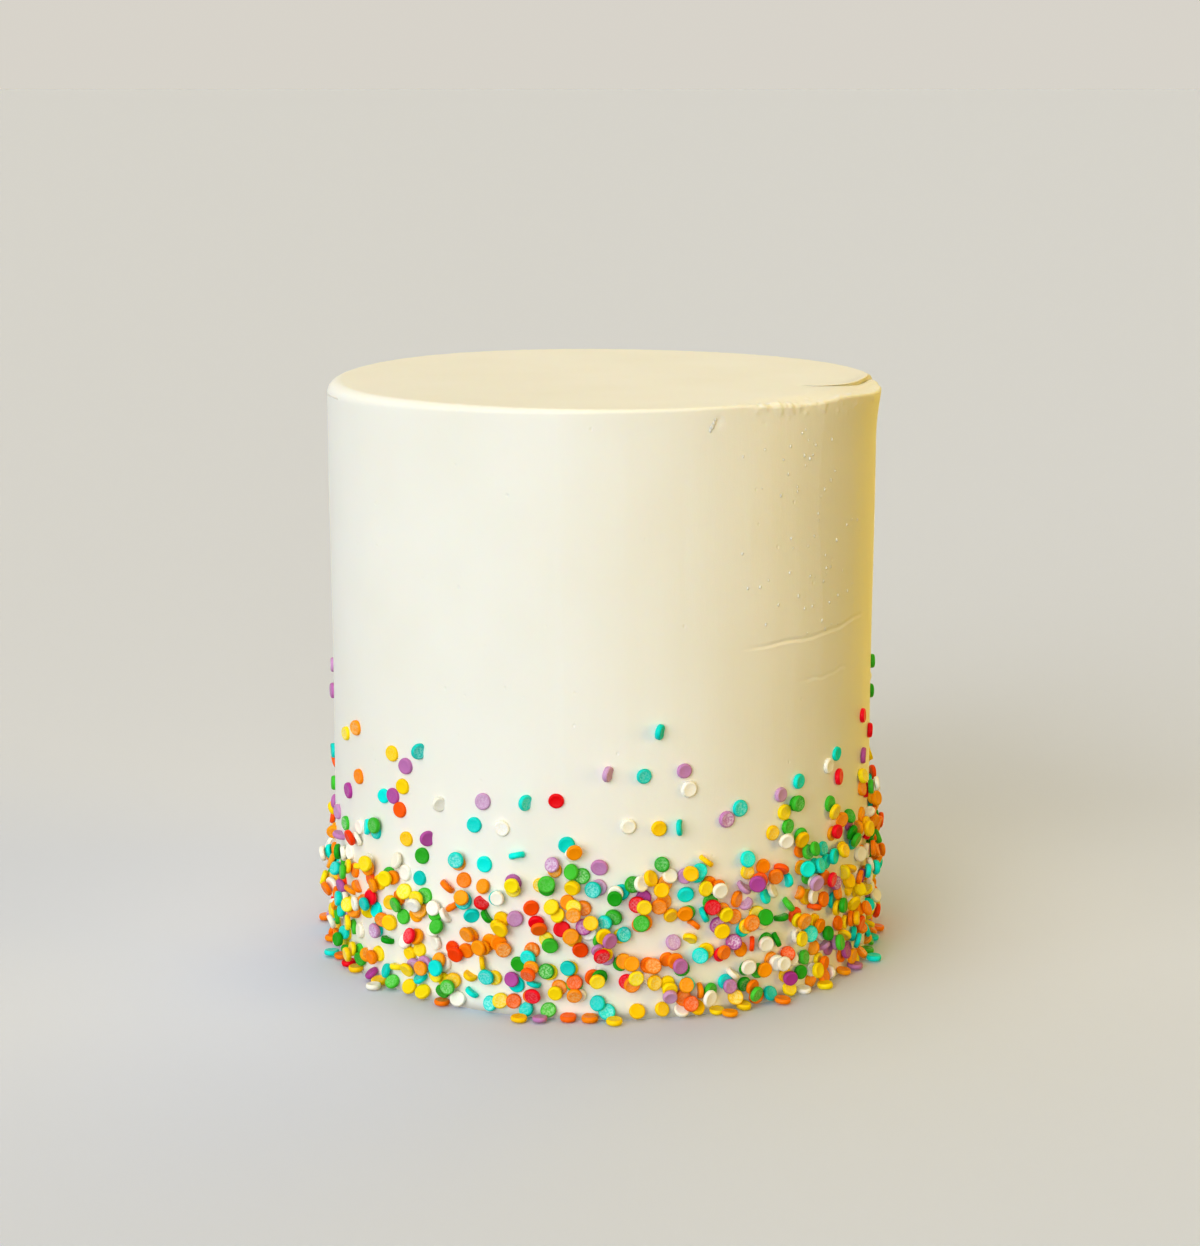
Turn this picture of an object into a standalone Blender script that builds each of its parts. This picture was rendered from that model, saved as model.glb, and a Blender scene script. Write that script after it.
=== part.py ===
"""Tall round celebration cake in smooth ivory buttercream, with confetti pressed on round its foot.

The cake stands on z = 0 with its axis on +Z. Its front, the side most often seen, faces -Y.
A place on the side is a turn in degrees, 0 at the front and +90 at +X, and a height in millimetres.
All lengths below are in millimetres; METRES turns them into Blender's units.
"""

import math
from collections import namedtuple

import bmesh
import bpy
import numpy as np
from mathutils import Matrix, Quaternion, Vector

METRES = 0.001

# The iced cake: a 7 inch sponge under about 5 mm of buttercream
CAKE_RADIUS = 91.5
CAKE_HEIGHT = 193.0
SEGMENTS = 72
SIDE_HEIGHTS = (0.0, 22.0, 46.0, 75.0, 110.0, 145.0, 172.0)
RIM_STEPS = 4
TOP_SHARES = (0.97, 0.93, 0.86, 0.75, 0.5, 0.22)

# The fold on the top: along, towards the front, and how far it has opened there
FOLD = (
    (60.0, -27.0, 0.0),
    (68.0, -29.4, 0.12),
    (74.0, -26.4, 0.3),
    (79.5, -22.4, 0.5),
    (83.4, -15.0, 0.75),
    (86.2, -5.5, 0.95),
    (88.5, 3.2, 1.0),
    (92.0, 9.0, 1.0),
)
FOLD_STEP = 1.4
FOLD_GROOVE = 1.2
FOLD_SHARPNESS = 0.4
FOLD_END = 91.0
RIM_DROP = 2.8
RIM_SAG = 1.8
RIM_LIP = 1.7

# How round the top edge is, as turn and radius
RIM_ROUNDS = ((-95.0, 4.9), (-45.0, 3.0), (0.0, 1.3), (30.0, 0.9), (85.0, 0.8), (92.0, 2.4), (180.0, 3.0))

# Confetti: pressed sugar discs with rounded edges
DISC_WIDTH = 5.2
DISC_DEPTH = 1.7
SIZE_SPREAD = 0.07
COLOUR_SHARES = {
    "yellow": 0.22,
    "orange": 0.23,
    "white": 0.14,
    "green": 0.14,
    "turquoise": 0.11,
    "purple": 0.07,
    "coral": 0.06,
    "red": 0.03,
}

# Single discs that lie above the band on the front half, as turn and height
STRAYS = {
    "yellow": ((-67, 79), (-47, 79), (-44, 69), (-43, 52), (11, 62), (39, 62)),
    "orange": ((-61, 83), (-60, 67)),
    "white": ((-60, 50), (-20, 61), (5, 63), (17, 74), (53, 73)),
    "green": ((-87, 54), (-68, 48), (42, 64), (40, 57), (86, 97), (88, 86)),
    "turquoise": ((-88, 65), (-50, 64), (-53, 51), (-26, 61), (-7, 57), (8, 79), (28, 66), (43, 71),
                  (56, 76)),
    "purple": ((-88, 95), (-88, 86), (-43, 76), (-66, 60), (-47, 65), (-75, 49), (-24, 69), (16, 80),
               (25, 63), (38, 68), (71, 70)),
    "coral": ((-45, 61),),
    "red": ((-9, 71), (57, 68), (70, 84), (78, 76), (74, 57)),
}
STRAYS_ON_EDGE = {
    "turquoise": ((-39, 82), (-15, 70), (11, 93), (15, 62)),
    "purple": ((1, 80), (-37, 54)),
    "white": ((-34, 66),),
}
STRAY_TURN = 90.0

# The band of confetti: how high it reaches, and how many discs it holds
BAND_HEIGHT = 50.0
BAND_RISE = 8.0
BAND_RISE_TURN = 65.0
FOOT_DISCS = 92
SPILL_DISCS = 30
SPILL_REACH = 11.0
SPILL_STEP = 0.25
BAND_DISCS = 1000
ON_EDGE_SHARE = 0.19
CLUMP_SHARE = 0.52
CLUMP_REACH = 3.4
LIKE_SHARE = 0.25
STACK_FACING = 0.8
STACK_FOOT = 6.5
BACK_STRAYS = 52
STRAY_REACH = 97.0
SEED = 26
FOOT_GAP = 0.25

# What the solid holds: few and evenly spread discs, as prisms that just hold the round ones
SOLID_SPACING = 10.6
SPILL_SPACING = 30.0
DISC_SIDES = 8
PRISM_MARGIN = 1.015

Disc = namedtuple("Disc", "colour centre normal width depth seated rests_on")


def bump(value, middle, reach):
    """1 at the middle, falling smoothly to 0 at reach on both sides."""
    share = np.minimum(1.0, np.abs(value - middle) / reach)
    return 0.5 + 0.5 * np.cos(np.pi * share)


def turn_between(a, b):
    """The signed angle in degrees from b to a, from -180 to 180."""
    return (a - b + 180.0) % 360.0 - 180.0


def side_radius(turn, height):
    """Radius of the buttercream: round to within half a millimetre, with flats left by the scraper."""
    a = np.radians(turn)
    sway = 0.25 * np.cos(2 * a + 0.6) + 0.16 * np.cos(3 * a - 1.1) + 0.08 * np.cos(9 * a + 2.0)
    wave = 0.16 * np.sin(height / 21.0 + 2.0 * np.cos(a)) * np.minimum(1.0, height / 30.0)
    before = np.minimum(0.0, turn_between(turn, FOLD_END - 8.0))
    lip = RIM_LIP * bump(before, 0.0, 48.0) * flap_share(turn, 2.5) * bump(height, CAKE_HEIGHT, 24.0) ** 2
    return CAKE_RADIUS + sway + wave + lip


def flap_share(turn, softness):
    """1 on the flap that the fold cuts off, falling to 0 where the fold meets the rim."""
    return 0.5 - 0.5 * np.tanh(turn_between(turn, FOLD_END) / softness)


def rim_round(turn):
    """Radius of the rounded top edge: soft on the left, sharp on the flap at the right."""
    turns, rounds = np.array(RIM_ROUNDS).T
    return np.interp(turn, turns, rounds, period=360.0)


def rim_drop(turn):
    """How much lower the rim lies on the right, where the last swipe dragged it down and out."""
    before = np.minimum(0.0, turn_between(turn, FOLD_END - 7.0))
    sag = RIM_SAG * bump(turn_between(turn, 43.0), 0.0, 18.0)
    return sag + RIM_DROP * bump(before, 0.0, 46.0) * flap_share(turn, 1.4)


def fold_line():
    """The fold as a smooth line: its corners are cut off twice."""
    line = np.array(FOLD)
    for _ in range(2):
        cut = np.stack([0.75 * line[:-1] + 0.25 * line[1:], 0.25 * line[:-1] + 0.75 * line[1:]], 1)
        line = np.concatenate([line[:1], cut.reshape(-1, 3), line[-1:]])
    return line


def fold_near(x, y):
    """For each place: how far the fold is, on which side of it the place lies, and how far it has opened."""
    nearest = np.full_like(x, 1e9)
    side = np.zeros_like(x)
    opening = np.zeros_like(x)
    line = fold_line()
    for (ax, ay, a_open), (bx, by, b_open) in zip(line, line[1:]):
        run = np.array([bx - ax, by - ay])
        along = run / np.hypot(*run)
        share = np.clip(((x - ax) * run[0] + (y - ay) * run[1]) / (run @ run), 0.0, 1.0)
        dx = x - ax - share * run[0]
        dy = y - ay - share * run[1]
        away = np.hypot(dx, dy)
        closer = away < nearest
        nearest = np.where(closer, away, nearest)
        side = np.where(closer, along[1] * dx - along[0] * dy, side)
        opening = np.where(closer, a_open + share * (b_open - a_open), opening)
    return nearest, side, opening


def fold_relief(x, y):
    """The step along the fold at the right of the top: the icing outside it slopes down to the rim."""
    nearest, side, opening = fold_near(x, y)
    step = FOLD_STEP * opening
    slope = bump(np.hypot(x, y), CAKE_RADIUS + 2.0, 14.0) * (1.0 - opening * np.exp(-((nearest / 4.5) ** 2)))
    drop = step + np.maximum(0.0, rim_drop(np.degrees(np.arctan2(x, -y))) - step) * slope
    cut = np.minimum(1.0, 3.0 * opening)
    groove = FOLD_GROOVE * cut * np.exp(-(((nearest - 0.2) / FOLD_SHARPNESS) ** 2))
    return -drop * (0.5 + 0.5 * np.tanh(side / FOLD_SHARPNESS)) - groove


def top_height(x, y):
    """Height of the top: flat to within half a millimetre, but for the fold."""
    wave = 0.25 * np.sin(x / 31.0 + 0.8) * np.cos(y / 27.0) - 0.2 * np.cos(x / 52.0 - y / 40.0)
    return CAKE_HEIGHT + wave + fold_relief(x, y)


def on_circle(turn, radius, height):
    a = math.radians(turn)
    return Vector((radius * math.sin(a), -radius * math.cos(a), height))


def rings():
    """The buttercream's outline, as rings of points from the foot up and in to the top's middle."""
    turns = np.arange(SEGMENTS) * 360.0 / SEGMENTS
    soft = rim_round(turns)
    shoulder = CAKE_HEIGHT - rim_drop(turns) - soft
    for height in SIDE_HEIGHTS:
        yield np.column_stack([*on_ring(turns, side_radius(turns, height)), np.full(SEGMENTS, height)])
    for angle in np.linspace(0.0, math.pi / 2, RIM_STEPS + 1):
        x, y = on_ring(turns, side_radius(turns, shoulder) - soft * (1.0 - math.cos(angle)))
        yield np.column_stack([x, y, top_height(x, y) - soft * (1.0 - math.sin(angle))])
    for share in TOP_SHARES:
        yield np.column_stack([x * share, y * share, top_height(x * share, y * share)])


def on_ring(turns, radius):
    a = np.radians(turns)
    return radius * np.sin(a), -radius * np.cos(a)


def buttercream():
    """The iced cake as one closed body: rings bridged from the foot to the middle of the top."""
    mesh = bmesh.new()
    loops = [[mesh.verts.new(Vector(point) * METRES) for point in ring.tolist()] for ring in rings()]
    for low, high in zip(loops, loops[1:]):
        for k in range(SEGMENTS):
            after = (k + 1) % SEGMENTS
            mesh.faces.new((low[k], low[after], high[after], high[k]))
    middle = mesh.verts.new(Vector((0.0, 0.0, top_height(np.zeros(1), np.zeros(1))[0])) * METRES)
    for k in range(SEGMENTS):
        mesh.faces.new((loops[-1][k], loops[-1][(k + 1) % SEGMENTS], middle))
    mesh.faces.new(list(reversed(loops[0])))
    bmesh.ops.triangulate(mesh, faces=mesh.faces[:])
    return as_object("frosted_cake", mesh)


def as_object(name, mesh):
    data = bpy.data.meshes.new(name)
    mesh.to_mesh(data)
    mesh.free()
    made = bpy.data.objects.new(name, data)
    bpy.context.scene.collection.objects.link(made)
    return made


class Laying:
    """The discs laid so far, and whether another would cut into one of them."""

    def __init__(self):
        self.discs = []
        self.centres = np.zeros((0, 3))
        around = np.radians(np.arange(12) * 30.0)
        ring = np.stack([np.cos(around), np.sin(around)], 1)
        spots = [(ring * 0.5, 0.0), (ring * 0.46, 0.32), (ring * 0.46, -0.32), (ring * 0.25, 0.48),
                 (ring * 0.25, -0.48)]
        self.spots = np.concatenate([np.column_stack([xy, np.full(len(xy), z)]) for xy, z in spots])

    def surface(self, disc):
        """Points spread over a disc's faces and edge."""
        normal = np.array(disc.normal)
        side = np.cross(normal, (0.0, 0.0, 1.0) if abs(normal[2]) < 0.9 else (1.0, 0.0, 0.0))
        side /= np.linalg.norm(side)
        axes = np.stack([side * disc.width, np.cross(normal, side) * disc.width, normal * disc.depth])
        return np.array(disc.centre) + self.spots @ axes

    def cuts(self, points, disc):
        """Whether any of the points lies well inside the disc."""
        away = points - np.array(disc.centre)
        along = away @ np.array(disc.normal)
        across = np.sqrt(np.maximum((away**2).sum(1) - along**2, 0.0))
        return bool(((across / (disc.width / 2)) ** 4 + (along / (disc.depth / 2)) ** 4 < 0.75).any())

    def neighbours(self, disc):
        if not self.discs:
            return []
        gaps = np.linalg.norm(self.centres - np.array(disc.centre), axis=1)
        return [self.discs[k] for k in np.nonzero(gaps < DISC_WIDTH * 1.15)[0]]

    def met_by(self, disc):
        """The first of the discs laid so far that this one would cut into, or None."""
        points = self.surface(disc)
        for other in self.neighbours(disc):
            if self.cuts(points, other) or self.cuts(self.surface(other), disc):
                return other
        return None

    def fits(self, disc):
        return self.met_by(disc) is None

    def nearest(self, spot):
        return self.discs[int(np.argmin(np.linalg.norm(self.centres - np.array(spot), axis=1)))]

    def lay(self, disc):
        self.discs.append(disc)
        self.centres = np.vstack([self.centres, disc.centre])


def sized(rng, colour, centre, normal, seated=True):
    grow = 1.0 + SIZE_SPREAD * rng.uniform(-1.0, 1.0)
    thin = 1.0 + 1.5 * SIZE_SPREAD * rng.uniform(-1.0, 1.0)
    facing = tuple(normal.normalized())
    return Disc(colour, tuple(centre), facing, DISC_WIDTH * grow, DISC_DEPTH * thin, seated, None)


def pressed(rng, colour, turn, height, tilt, roll, lift=0.0):
    """A disc pressed into the side: tilt is how far it leans off the surface, roll the way it leans."""
    out = on_circle(turn, 1.0, 0.0)
    across = on_circle(turn + 90.0, 1.0, 0.0)
    lean = across * math.cos(roll) + Vector((0.0, 0.0, 1.0)) * math.sin(roll)
    normal = out * math.cos(tilt) + lean * math.sin(tilt)
    reach = DISC_WIDTH / 2 * math.sin(tilt) + DISC_DEPTH / 2 * math.cos(tilt)
    bite = 0.45 + 1.3 * math.sin(tilt)
    foot_clear = DISC_WIDTH / 2 * math.sqrt(max(0.0, 1.0 - normal.z**2)) + DISC_DEPTH / 2 * abs(normal.z)
    height = max(height, foot_clear * (1.0 + SIZE_SPREAD) + FOOT_GAP)
    centre = on_circle(turn, side_radius(turn, height) + reach - bite + lift, height)
    return sized(rng, colour, centre, normal, seated=lift == 0.0)


def drawn_colour(rng):
    names = list(COLOUR_SHARES)
    shares = np.array([COLOUR_SHARES[name] for name in names])
    return names[int(rng.choice(len(names), p=shares / shares.sum()))]


def drawn_tilt(rng):
    """Most discs lie nearly flat, and some stand on edge."""
    if rng.random() < ON_EDGE_SHARE:
        return math.radians(rng.uniform(55.0, 85.0))
    return math.radians(min(38.0, abs(rng.normal(0.0, 13.0))))


def band_height(turn):
    """Height at which the band thins out, which rises and falls round the cake."""
    a = math.radians(turn)
    rise = BAND_RISE * math.cos(a - math.radians(BAND_RISE_TURN))
    return BAND_HEIGHT + rise + 2.4 * math.cos(7 * a + 0.5) + 1.6 * math.cos(11 * a)


def band_share(turn, height):
    """How likely a disc is to stay at this place: crowded near the foot, thinning out at the top."""
    share = height / band_height(turn)
    if share < 0.72:
        return 1.0
    return max(0.0, 1.0 - (share - 0.72) / 0.42) ** 1.6


def lay_foot(rng, laying):
    """The lowest discs, lying or leaning where the side meets the surface that the cake stands on."""
    for k in range(FOOT_DISCS):
        turn = 360.0 * (k + rng.uniform(-0.42, 0.42)) / FOOT_DISCS
        tip = math.radians(rng.uniform(3.0, 10.0) if rng.random() < 0.4 else rng.uniform(38.0, 78.0))
        sway = math.radians(rng.uniform(-28.0, 28.0))
        out = on_circle(turn, 1.0, 0.0)
        across = on_circle(turn + 90.0, 1.0, 0.0)
        flat = out * math.cos(sway) + across * math.sin(sway)
        normal = flat * math.sin(tip) + Vector((0.0, 0.0, 1.0)) * math.cos(tip)
        low = DISC_WIDTH / 2 * math.sin(tip) + DISC_DEPTH / 2 * math.cos(tip)
        reach = DISC_WIDTH / 2 * math.cos(tip) + DISC_DEPTH / 2 * math.sin(tip)
        height = low * (1.0 + SIZE_SPREAD) + FOOT_GAP
        centre = on_circle(turn, side_radius(turn, height) + reach - 0.5, height)
        disc = sized(rng, drawn_colour(rng), centre, normal)
        if laying.fits(disc):
            laying.lay(disc)


def lay_spill(rng, laying):
    """Discs that dropped past the foot: each lies nearly flat, slid in until it meets the foot row."""
    for _ in range(SPILL_DISCS):
        turn = rng.uniform(0.0, 360.0)
        lean = on_circle(rng.uniform(0.0, 360.0), math.sin(math.radians(rng.uniform(1.0, 7.0))), 1.0)
        low = DISC_WIDTH / 2 * lean.xy.length + DISC_DEPTH / 2
        height = low * (1.0 + 1.5 * SIZE_SPREAD) + FOOT_GAP
        apart = on_circle(turn, CAKE_RADIUS + SPILL_REACH, height)
        disc = sized(rng, drawn_colour(rng), apart, lean, seated=False)
        if not laying.fits(disc):
            continue
        for out in np.arange(SPILL_REACH, disc.width / 2 - 0.5, -SPILL_STEP):
            disc = disc._replace(centre=tuple(on_circle(turn, CAKE_RADIUS + out, height)))
            met = laying.met_by(disc)
            if met:
                break
        if met is None:
            laying.lay(disc._replace(seated=True))
        elif met.seated:
            home = tuple(on_circle(turn, CAKE_RADIUS + out - SPILL_STEP, height))
            laying.lay(disc._replace(centre=home, rests_on=met))


def lay_strays(rng, laying):
    """The single discs above the band: those named on the front, and as many again behind."""
    for places, low, high in ((STRAYS, 0.0, 14.0), (STRAYS_ON_EDGE, 56.0, 68.0)):
        for colour, spots in places.items():
            for turn, height in spots:
                tilt = math.radians(rng.uniform(low, high))
                laying.lay(pressed(rng, colour, turn, height, tilt, rng.uniform(-0.25, 0.25)))
    for _ in range(BACK_STRAYS):
        turn = rng.uniform(STRAY_TURN, 360.0 - STRAY_TURN)
        drop = (STRAY_REACH - band_height(turn)) * rng.random() ** 1.7
        place = (turn, band_height(turn) + drop)
        disc = pressed(rng, drawn_colour(rng), *place, drawn_tilt(rng), rng.uniform(0.0, 2 * math.pi))
        if laying.fits(disc):
            laying.lay(disc)


def next_place(rng, laying):
    """Where the next disc lands, and its colour: anywhere in the band, or clumped with one that is there."""
    if rng.random() > CLUMP_SHARE:
        return rng.uniform(0.0, 360.0), rng.uniform(2.0, 1.2 * (BAND_HEIGHT + BAND_RISE)), drawn_colour(rng)
    near = laying.discs[int(rng.integers(len(laying.discs)))]
    x, y, z = near.centre
    turn = math.degrees(math.atan2(x, -y) + rng.normal(0.0, CLUMP_REACH) / CAKE_RADIUS)
    height = max(2.0, z + rng.normal(0.0, CLUMP_REACH))
    return turn, height, near.colour if rng.random() < LIKE_SHARE else drawn_colour(rng)


def lay_band(rng, laying):
    """The crowded band. A disc that finds its place taken leans or lies on its neighbour, or goes elsewhere."""
    wanted = len(laying.discs) + BAND_DISCS
    for _ in range(40 * BAND_DISCS):
        if len(laying.discs) >= wanted:
            return
        turn, height, colour = next_place(rng, laying)
        if rng.random() > band_share(turn, height):
            continue
        for disc in ways_to_lie(rng, laying, colour, turn, height):
            if laying.fits(disc):
                laying.lay(disc)
                break


def ways_to_lie(rng, laying, colour, turn, height):
    """The same disc pressed into the icing, then leaning on its nearest neighbour, then lying on it."""
    yield pressed(rng, colour, turn, height, drawn_tilt(rng), rng.uniform(0.0, 2 * math.pi))
    near = laying.nearest(on_circle(turn, side_radius(turn, height), height))
    yield leaning(rng, near, colour, turn, height)
    if Vector(near.normal).dot(on_circle(turn, 1.0, 0.0)) > STACK_FACING and near.centre[2] > STACK_FOOT:
        yield stacked(rng, near, colour)


def leaning(rng, near, colour, turn, height):
    """A disc with one edge up on its neighbour and the other on the icing."""
    towards = Vector(near.centre) - on_circle(turn, side_radius(turn, height), height)
    across = towards.dot(on_circle(turn + 90.0, 1.0, 0.0))
    tilt = math.radians(rng.uniform(17.0, 30.0))
    roll = math.atan2(-towards.z, -across)
    return pressed(rng, colour, turn, height, tilt, roll, lift=rng.uniform(0.35, 0.9))


def stacked(rng, near, colour):
    """A disc lying on its neighbour's face, pushed aside and tipped a little over the edge."""
    normal = Vector(near.normal)
    aside = normal.orthogonal().normalized()
    aside.rotate(Quaternion(normal, rng.uniform(0.0, 2 * math.pi)))
    shift = rng.uniform(1.0, 2.9)
    tip = rng.uniform(0.0, 0.3)
    rise = (near.depth + DISC_DEPTH) / 2 + max(0.0, near.width / 2 - shift) * math.sin(tip)
    centre = Vector(near.centre) + normal * rise + aside * shift
    return sized(rng, colour, centre, normal + aside * math.tan(tip), seated=False)


def laid_confetti():
    rng = np.random.default_rng(SEED)
    laying = Laying()
    lay_strays(rng, laying)
    lay_foot(rng, laying)
    lay_spill(rng, laying)
    lay_band(rng, laying)
    return laying.discs


def outermost(disc):
    return max(abs(disc.centre[0]), abs(disc.centre[1]))


def clear_of(disc, kept, spacing):
    return all((Vector(disc.centre) - Vector(other.centre)).length > spacing for other in kept)


def spread_evenly(discs):
    """The discs that the solid holds: spilt ones with what they rest on, then others seated in the icing."""
    kept = []
    inwards = sorted(discs, key=outermost, reverse=True)
    for disc in inwards:
        if disc.rests_on and clear_of(disc, kept, SPILL_SPACING):
            kept += [disc, disc.rests_on]
    for disc in inwards:
        if disc.seated and clear_of(disc, kept, SOLID_SPACING):
            kept.append(disc)
    return kept


def confetti_solid(number, disc, collection):
    """A disc as a prism that just holds it, with a flat side down."""
    mesh = bmesh.new()
    facing = Vector(disc.normal).to_track_quat("Z", "Y").to_matrix().to_4x4()
    flat_down = Matrix.Rotation(math.pi / DISC_SIDES, 4, "Z")
    corner = disc.width / 2 / math.cos(math.pi / DISC_SIDES) * PRISM_MARGIN * METRES
    bmesh.ops.create_cone(mesh, cap_ends=True, segments=DISC_SIDES, radius1=corner, radius2=corner,
                          depth=disc.depth * METRES,
                          matrix=Matrix.Translation(Vector(disc.centre) * METRES) @ facing @ flat_down)
    made = as_object(f"confetti_{number:03d}", mesh)
    bpy.context.scene.collection.objects.unlink(made)
    collection.objects.link(made)


def fuse(body, discs):
    """Joins the discs to the buttercream in one union and removes the loose copies."""
    collection = bpy.data.collections.new("confetti")
    bpy.context.scene.collection.children.link(collection)
    for number, disc in enumerate(discs):
        confetti_solid(number, disc, collection)
    union = body.modifiers.new("confetti", "BOOLEAN")
    union.operation = "UNION"
    union.operand_type = "COLLECTION"
    union.collection = collection
    union.solver = "EXACT"
    bpy.context.view_layer.update()
    joined = bpy.data.meshes.new_from_object(body.evaluated_get(bpy.context.evaluated_depsgraph_get()))
    body.modifiers.clear()
    body.data = joined
    for loose in list(collection.objects):
        bpy.data.objects.remove(loose)
    bpy.data.collections.remove(collection)


def buttercream_material():
    material = bpy.data.materials.new("buttercream")
    material.use_nodes = True
    shader = material.node_tree.nodes["Principled BSDF"]
    shader.inputs["Base Color"].default_value = (0.88, 0.84, 0.72, 1.0)
    shader.inputs["Roughness"].default_value = 0.45
    shader.inputs["Metallic"].default_value = 0.0
    return material


def main():
    for old in list(bpy.data.objects):
        bpy.data.objects.remove(old)
    cake = buttercream()
    fuse(cake, spread_evenly(laid_confetti()))
    cake.data.materials.clear()
    cake.data.materials.append(buttercream_material())
    cake.data.shade_smooth()
    cake.data.set_sharp_from_angle(angle=math.radians(30.0))


main()
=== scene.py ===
"""The looks of a tall celebration cake: ivory buttercream with sugar confetti pressed on round its foot.

The cake stands on z = 0 with its axis on +Z, and its front faces -Y.
A place on the side is a turn in degrees, 0 at the front and +90 at +X, and a height in millimetres.
Lengths are in millimetres until METRES turns them into Blender's units.
"""

import math
from collections import namedtuple

import bpy
import numpy as np
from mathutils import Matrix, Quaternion, Vector


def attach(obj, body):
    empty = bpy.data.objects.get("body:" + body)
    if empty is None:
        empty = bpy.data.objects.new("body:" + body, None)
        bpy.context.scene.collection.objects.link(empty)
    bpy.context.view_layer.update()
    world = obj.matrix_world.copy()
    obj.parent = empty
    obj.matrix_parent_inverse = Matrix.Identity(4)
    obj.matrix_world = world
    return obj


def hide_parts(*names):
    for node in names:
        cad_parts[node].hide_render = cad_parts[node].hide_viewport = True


METRES = 0.001
CAKE = "frosted_cake"

# The iced cake, as in the part's own script
CAKE_RADIUS = 91.5
CAKE_HEIGHT = 193.0

# The fold on the top: along, towards the front, and how far it has opened there
FOLD = (
    (60.0, -27.0, 0.0),
    (68.0, -29.4, 0.12),
    (74.0, -26.4, 0.3),
    (79.5, -22.4, 0.5),
    (83.4, -15.0, 0.75),
    (86.2, -5.5, 0.95),
    (88.5, 3.2, 1.0),
    (92.0, 9.0, 1.0),
)
FOLD_STEP = 1.4
FOLD_GROOVE = 1.2
FOLD_SHARPNESS = 0.4
FOLD_END = 91.0
RIM_DROP = 2.8
RIM_SAG = 1.8
RIM_LIP = 1.7

# How round the top edge is, as turn and radius
RIM_ROUNDS = ((-95.0, 4.9), (-45.0, 3.0), (0.0, 1.3), (30.0, 0.9), (85.0, 0.8), (92.0, 2.4), (180.0, 3.0))

# Confetti: pressed sugar discs with rounded edges
DISC_WIDTH = 5.2
DISC_DEPTH = 1.7
SIZE_SPREAD = 0.07
COLOUR_SHARES = {
    "yellow": 0.22,
    "orange": 0.23,
    "white": 0.14,
    "green": 0.14,
    "turquoise": 0.11,
    "purple": 0.07,
    "coral": 0.06,
    "red": 0.03,
}

# Single discs that lie above the band on the front half, as turn and height
STRAYS = {
    "yellow": ((-67, 79), (-47, 79), (-44, 69), (-43, 52), (11, 62), (39, 62)),
    "orange": ((-61, 83), (-60, 67)),
    "white": ((-60, 50), (-20, 61), (5, 63), (17, 74), (53, 73)),
    "green": ((-87, 54), (-68, 48), (42, 64), (40, 57), (86, 97), (88, 86)),
    "turquoise": ((-88, 65), (-50, 64), (-53, 51), (-26, 61), (-7, 57), (8, 79), (28, 66), (43, 71),
                  (56, 76)),
    "purple": ((-88, 95), (-88, 86), (-43, 76), (-66, 60), (-47, 65), (-75, 49), (-24, 69), (16, 80),
               (25, 63), (38, 68), (71, 70)),
    "coral": ((-45, 61),),
    "red": ((-9, 71), (57, 68), (70, 84), (78, 76), (74, 57)),
}
STRAYS_ON_EDGE = {
    "turquoise": ((-39, 82), (-15, 70), (11, 93), (15, 62)),
    "purple": ((1, 80), (-37, 54)),
    "white": ((-34, 66),),
}
STRAY_TURN = 90.0

# The band of confetti: how high it reaches, and how many discs it holds
BAND_HEIGHT = 50.0
BAND_RISE = 8.0
BAND_RISE_TURN = 65.0
FOOT_DISCS = 92
SPILL_DISCS = 30
SPILL_REACH = 11.0
SPILL_STEP = 0.25
BAND_DISCS = 1000
ON_EDGE_SHARE = 0.19
CLUMP_SHARE = 0.52
CLUMP_REACH = 3.4
LIKE_SHARE = 0.25
STACK_FACING = 0.8
STACK_FOOT = 6.5
BACK_STRAYS = 52
STRAY_REACH = 97.0
SEED = 26
FOOT_GAP = 0.25

# The camera: where it stands in front of the cake, and how far it looks down
CAMERA_AWAY = 903.4
CAMERA_UP = 293.2
CAMERA_PITCH = 11.54
CAMERA_LENS = 78.4
CAMERA_SHIFT = -0.0021

# The floor reaches this many metres out from the cake, past where the eye can tell it from the horizon
FLOOR_REACH = 40.0

Disc = namedtuple("Disc", "colour centre normal width depth seated rests_on")


def bump(value, middle, reach):
    """1 at the middle, falling smoothly to 0 at reach on both sides."""
    share = np.minimum(1.0, np.abs(value - middle) / reach)
    return 0.5 + 0.5 * np.cos(np.pi * share)


def turn_between(a, b):
    """The signed angle in degrees from b to a, from -180 to 180."""
    return (a - b + 180.0) % 360.0 - 180.0


def side_radius(turn, height):
    """Radius of the buttercream: round to within half a millimetre, with flats left by the scraper."""
    a = np.radians(turn)
    sway = 0.25 * np.cos(2 * a + 0.6) + 0.16 * np.cos(3 * a - 1.1) + 0.08 * np.cos(9 * a + 2.0)
    wave = 0.16 * np.sin(height / 21.0 + 2.0 * np.cos(a)) * np.minimum(1.0, height / 30.0)
    before = np.minimum(0.0, turn_between(turn, FOLD_END - 8.0))
    lip = RIM_LIP * bump(before, 0.0, 48.0) * flap_share(turn, 2.5) * bump(height, CAKE_HEIGHT, 24.0) ** 2
    return CAKE_RADIUS + sway + wave + lip


def flap_share(turn, softness):
    """1 on the flap that the fold cuts off, falling to 0 where the fold meets the rim."""
    return 0.5 - 0.5 * np.tanh(turn_between(turn, FOLD_END) / softness)


def rim_round(turn):
    """Radius of the rounded top edge: soft on the left, sharp on the flap at the right."""
    turns, rounds = np.array(RIM_ROUNDS).T
    return np.interp(turn, turns, rounds, period=360.0)


def rim_drop(turn):
    """How much lower the rim lies on the right, where the last swipe dragged it down and out."""
    before = np.minimum(0.0, turn_between(turn, FOLD_END - 7.0))
    sag = RIM_SAG * bump(turn_between(turn, 43.0), 0.0, 18.0)
    return sag + RIM_DROP * bump(before, 0.0, 46.0) * flap_share(turn, 1.4)


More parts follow.
